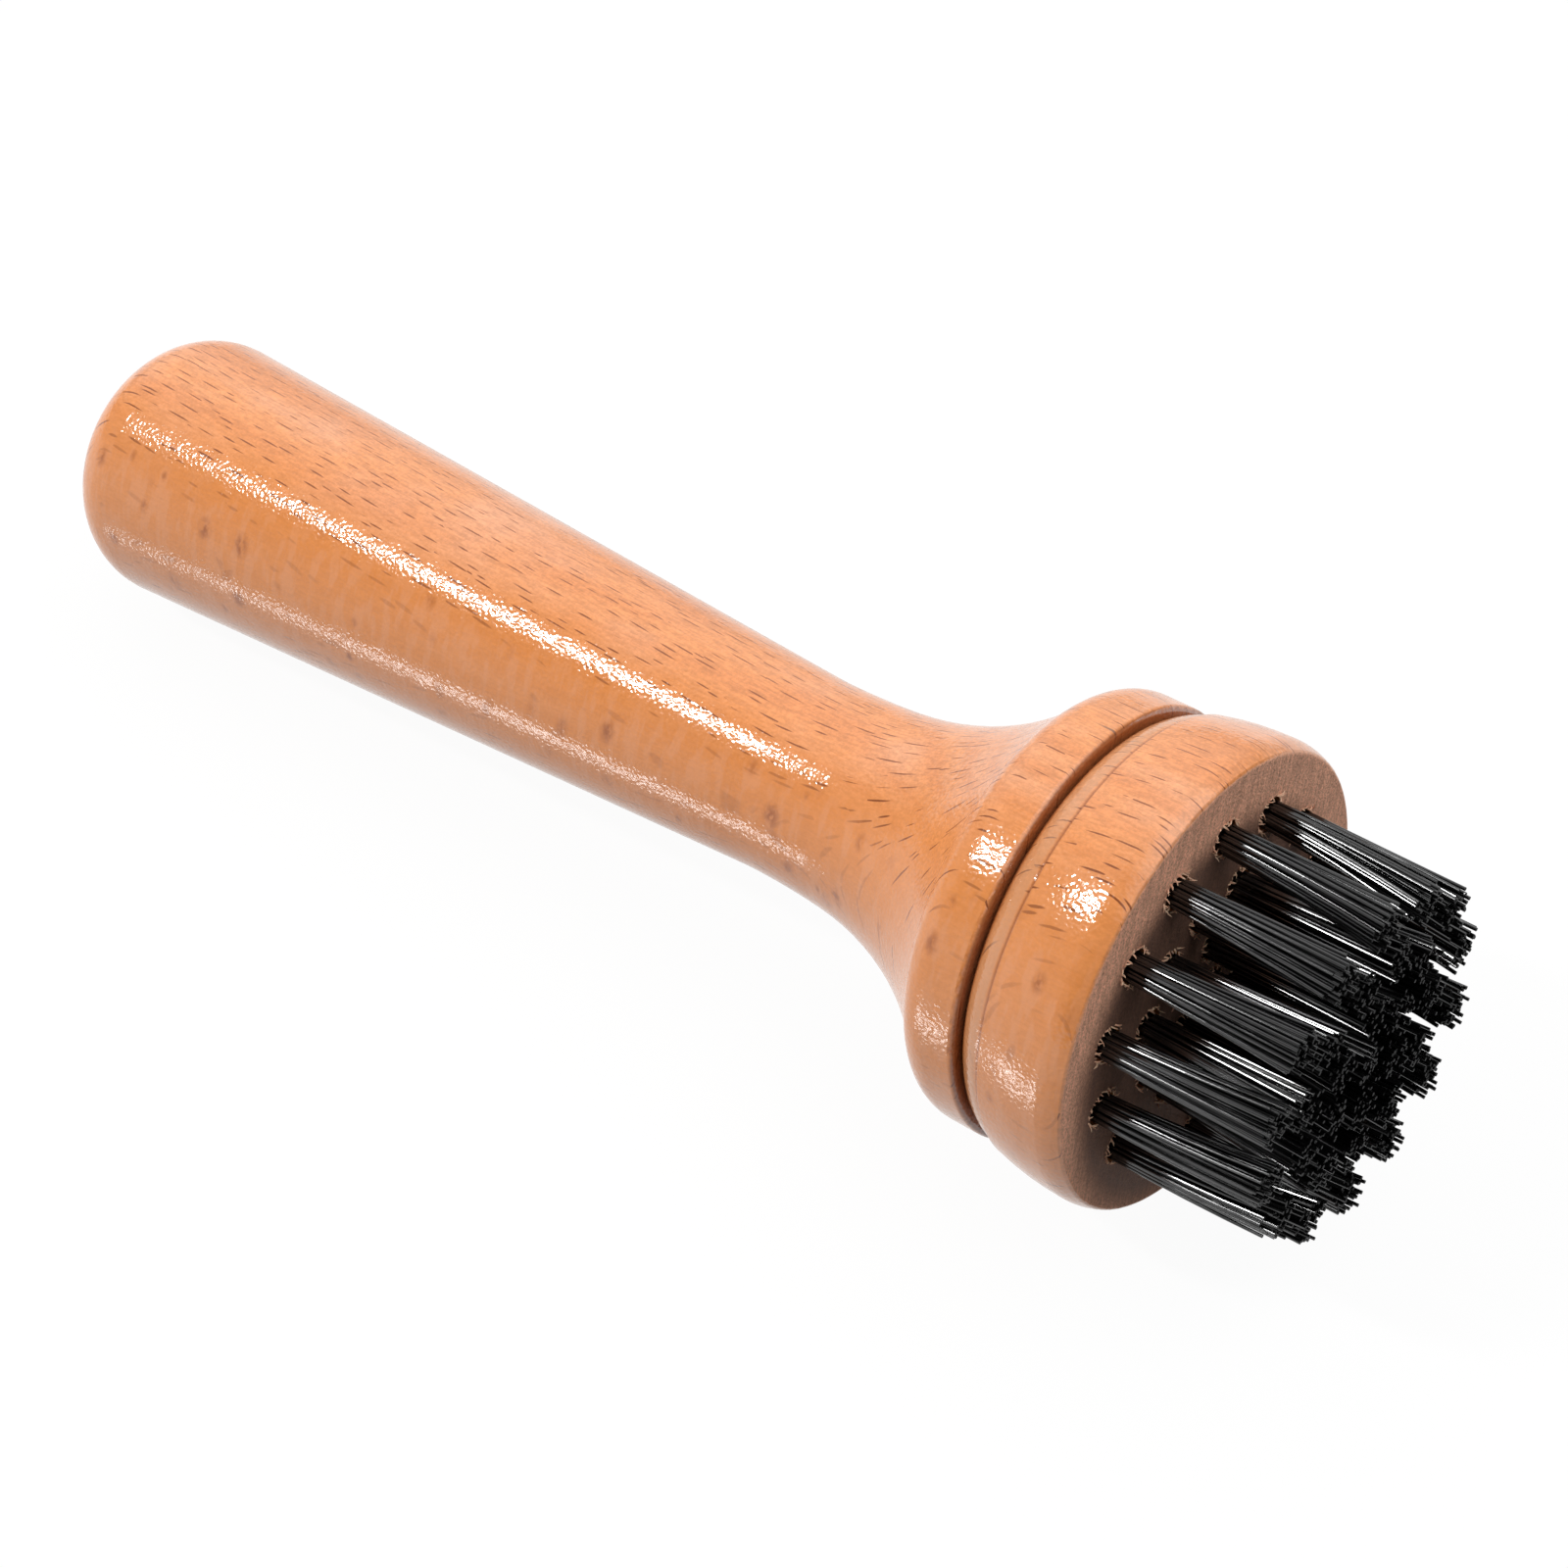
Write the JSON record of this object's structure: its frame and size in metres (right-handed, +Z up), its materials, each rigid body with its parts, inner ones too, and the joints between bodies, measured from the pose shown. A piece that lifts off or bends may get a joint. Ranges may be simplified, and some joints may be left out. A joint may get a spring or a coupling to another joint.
{
  "type": "beard brush",
  "caption": "Round-headed beard brush: a turned beech handle with a flared, grooved head and rings of short black bristle tufts.",
  "frame": {"origin": "on the surface the brush lies on, under the middle of its bounding box", "axes": "+Z up, +X along the brush towards the bristles, -Y the long side that faces the viewer"},
  "size_m": [0.1564, 0.045, 0.045],
  "materials": {
    "beech": "satin lacquer, bare and sanded on the drilled face",
    "bristle": "glossy extruded filament with cut ends",
    "anchor_wire": "flat drawn wire"
  },
  "bodies": {
    "root": {"handle": "beech", "tuft_centre": "bristle", "tuft_inner_1": "bristle", "tuft_inner_2": "bristle", "tuft_inner_3": "bristle", "tuft_inner_4": "bristle", "tuft_inner_5": "bristle", "tuft_inner_6": "bristle", "tuft_middle_1": "bristle", "tuft_middle_2": "bristle", "tuft_middle_3": "bristle", "tuft_middle_4": "bristle", "tuft_middle_5": "bristle", "tuft_middle_6": "bristle", "tuft_middle_7": "bristle", "tuft_middle_8": "bristle", "tuft_middle_9": "bristle", "tuft_middle_10": "bristle", "tuft_middle_11": "bristle", "tuft_outer_1": "bristle", "tuft_outer_2": "bristle", "tuft_outer_3": "bristle", "tuft_outer_4": "bristle", "tuft_outer_5": "bristle", "tuft_outer_6": "bristle", "tuft_outer_7": "bristle", "tuft_outer_8": "bristle", "tuft_outer_9": "bristle", "tuft_outer_10": "bristle", "tuft_outer_11": "bristle", "tuft_outer_12": "bristle", "tuft_outer_13": "bristle", "tuft_outer_14": "bristle", "anchor_wires": "anchor_wire"}
  },
  "joints": []
}
